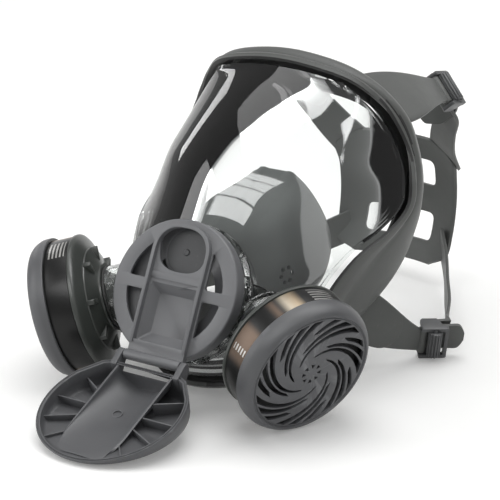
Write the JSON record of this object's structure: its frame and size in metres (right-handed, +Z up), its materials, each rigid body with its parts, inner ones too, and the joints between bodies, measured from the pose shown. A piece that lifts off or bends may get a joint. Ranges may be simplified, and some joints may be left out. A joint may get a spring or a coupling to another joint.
{
  "type": "full face respirator",
  "caption": "Full face respirator mask with a wide clear lens, soft face seal, nose cup, twin filter cartridges, hinged exhalation lid and buckled head harness.",
  "frame": {"origin": "under the middle of the whole object, on the surface that it stands on", "axes": "+Z up, -Y towards the front of the lens, +X towards the wearer's left"},
  "size_m": [0.2316, 0.4074, 0.1966],
  "materials": {
    "lens": "clear polished polycarbonate",
    "seal_rubber": "satin moulded elastomer, dark grey",
    "cup_rubber": "matte moulded elastomer, grey",
    "shell_plastic": "fine textured moulding, blue grey",
    "can_plastic": "smooth black moulding",
    "label": "metallic brown to black wrap",
    "valve_rubber": "smooth silicone",
    "gasket_rubber": "matte",
    "felt": "charcoal grey filter felt",
    "carbon": "bonded black granules",
    "buckle_plastic": "satin moulding",
    "steel": "plain pin"
  },
  "bodies": {
    "root": {"lens": "lens", "face_seal": "seal_rubber", "nose_cup": "cup_rubber", "exhalation_body": "shell_plastic", "exhalation_seat": "shell_plastic", "exhalation_gasket": "gasket_rubber", "retaining_ring": "shell_plastic", "hinge_pin": "steel", "inhalation_seat_left": "shell_plastic", "inhalation_seat_right": "shell_plastic", "head_harness": "seal_rubber"},
    "lid": {"lid": "shell_plastic"},
    "exhalation_flap": {"exhalation_flap": "valve_rubber"},
    "cartridge_left": {"cartridge_body_left": "can_plastic", "cartridge_cap_left": "shell_plastic", "cartridge_label_left": "label", "filter_pad_left": "felt", "carbon_bed_left": "carbon", "port_gasket_left": "gasket_rubber"},
    "inhalation_flap_left": {"inhalation_flap_left": "valve_rubber"},
    "nose_cup_flap_left": {"nose_cup_flap_left": "valve_rubber"},
    "buckle_upper_left": {"buckle_frame_upper_left": "buckle_plastic"},
    "roller_upper_left": {"buckle_roller_upper_left": "buckle_plastic"},
    "buckle_lower_left": {"buckle_frame_lower_left": "buckle_plastic"},
    "roller_lower_left": {"buckle_roller_lower_left": "buckle_plastic"},
    "cartridge_right": {"cartridge_body_right": "can_plastic", "cartridge_cap_right": "shell_plastic", "cartridge_label_right": "label", "filter_pad_right": "felt", "carbon_bed_right": "carbon", "port_gasket_right": "gasket_rubber"},
    "inhalation_flap_right": {"inhalation_flap_right": "valve_rubber"},
    "nose_cup_flap_right": {"nose_cup_flap_right": "valve_rubber"},
    "buckle_upper_right": {"buckle_frame_upper_right": "buckle_plastic"},
    "roller_upper_right": {"buckle_roller_upper_right": "buckle_plastic"},
    "buckle_lower_right": {"buckle_frame_lower_right": "buckle_plastic"},
    "roller_lower_right": {"buckle_roller_lower_right": "buckle_plastic"}
  },
  "joints": [
    {"name": "lid_hinge", "type": "hinge", "parent": "root", "child": "lid", "pos_m": [0, -0.11984, 0.03519], "axis": [-1, 0, 0], "range_deg": [0, 136.35]},
    {"name": "exhalation_flap_lift", "type": "slide", "parent": "root", "child": "exhalation_flap", "axis": [0, -0.8999, 0.436], "range_m": [0, 0.0011], "stiffness_N_per_m": 50, "springref_m": -0.0004},
    {"name": "cartridge_left_twist", "type": "hinge", "parent": "root", "child": "cartridge_left", "pos_m": [0.0891, -0.0932, 0.0419], "axis": [0.8733, -0.3982, -0.2808], "range_deg": [0, 90]},
    {"name": "inhalation_flap_left_lift", "type": "slide", "parent": "root", "child": "inhalation_flap_left", "axis": [-0.8733, 0.3982, 0.2808], "range_m": [0, 0.0015], "stiffness_N_per_m": 50, "springref_m": -0.0004},
    {"name": "nose_cup_flap_left_lift", "type": "slide", "parent": "root", "child": "nose_cup_flap_left", "axis": [-0.9378, 0.2698, -0.2186], "range_m": [0, 0.0015], "stiffness_N_per_m": 50, "springref_m": -0.0004},
    {"name": "buckle_upper_left_tilt", "type": "hinge", "parent": "root", "child": "buckle_upper_left", "pos_m": [0.06226, 0.12523, 0.1594], "axis": [-0.6646, 0.1409, 0.7338], "range_deg": [-25, 25], "deforming": ["head_harness"]},
    {"name": "roller_upper_left_spin", "type": "hinge", "parent": "buckle_upper_left", "child": "roller_upper_left", "pos_m": [0.0648, 0.13313, 0.16019], "axis": [-0.6646, 0.1409, 0.7338], "continuous": true},
    {"name": "buckle_lower_left_tilt", "type": "hinge", "parent": "root", "child": "buckle_lower_left", "pos_m": [0.09375, 0.04876, 0.01431], "axis": [0.2298, -0.3154, 0.9207], "range_deg": [-15, 25], "deforming": ["head_harness"]},
    {"name": "roller_lower_left_spin", "type": "hinge", "parent": "buckle_lower_left", "child": "roller_lower_left", "pos_m": [0.10171, 0.05091, 0.01306], "axis": [0.2298, -0.3154, 0.9207], "continuous": true},
    {"name": "cartridge_right_twist", "type": "hinge", "parent": "root", "child": "cartridge_right", "pos_m": [-0.0891, -0.0932, 0.0419], "axis": [-0.8733, -0.3982, -0.2808], "range_deg": [0, 90]},
    {"name": "inhalation_flap_right_lift", "type": "slide", "parent": "root", "child": "inhalation_flap_right", "axis": [0.8733, 0.3982, 0.2808], "range_m": [0, 0.0015], "stiffness_N_per_m": 50, "springref_m": -0.0004},
    {"name": "nose_cup_flap_right_lift", "type": "slide", "parent": "root", "child": "nose_cup_flap_right", "axis": [0.9378, 0.2698, -0.2186], "range_m": [0, 0.0015], "stiffness_N_per_m": 50, "springref_m": -0.0004},
    {"name": "buckle_upper_right_tilt", "type": "hinge", "parent": "root", "child": "buckle_upper_right", "pos_m": [-0.06226, 0.12523, 0.1594], "axis": [-0.6646, -0.1409, -0.7338], "range_deg": [-25, 25], "deforming": ["head_harness"]},
    {"name": "roller_upper_right_spin", "type": "hinge", "parent": "buckle_upper_right", "child": "roller_upper_right", "pos_m": [-0.0648, 0.13313, 0.16019], "axis": [-0.6646, -0.1409, -0.7338], "continuous": true},
    {"name": "buckle_lower_right_tilt", "type": "hinge", "parent": "root", "child": "buckle_lower_right", "pos_m": [-0.09375, 0.04876, 0.01431], "axis": [0.2298, 0.3154, -0.9207], "range_deg": [-15, 25], "deforming": ["head_harness"]},
    {"name": "roller_lower_right_spin", "type": "hinge", "parent": "buckle_lower_right", "child": "roller_lower_right", "pos_m": [-0.10171, 0.05091, 0.01306], "axis": [0.2298, 0.3154, -0.9207], "continuous": true}
  ]
}
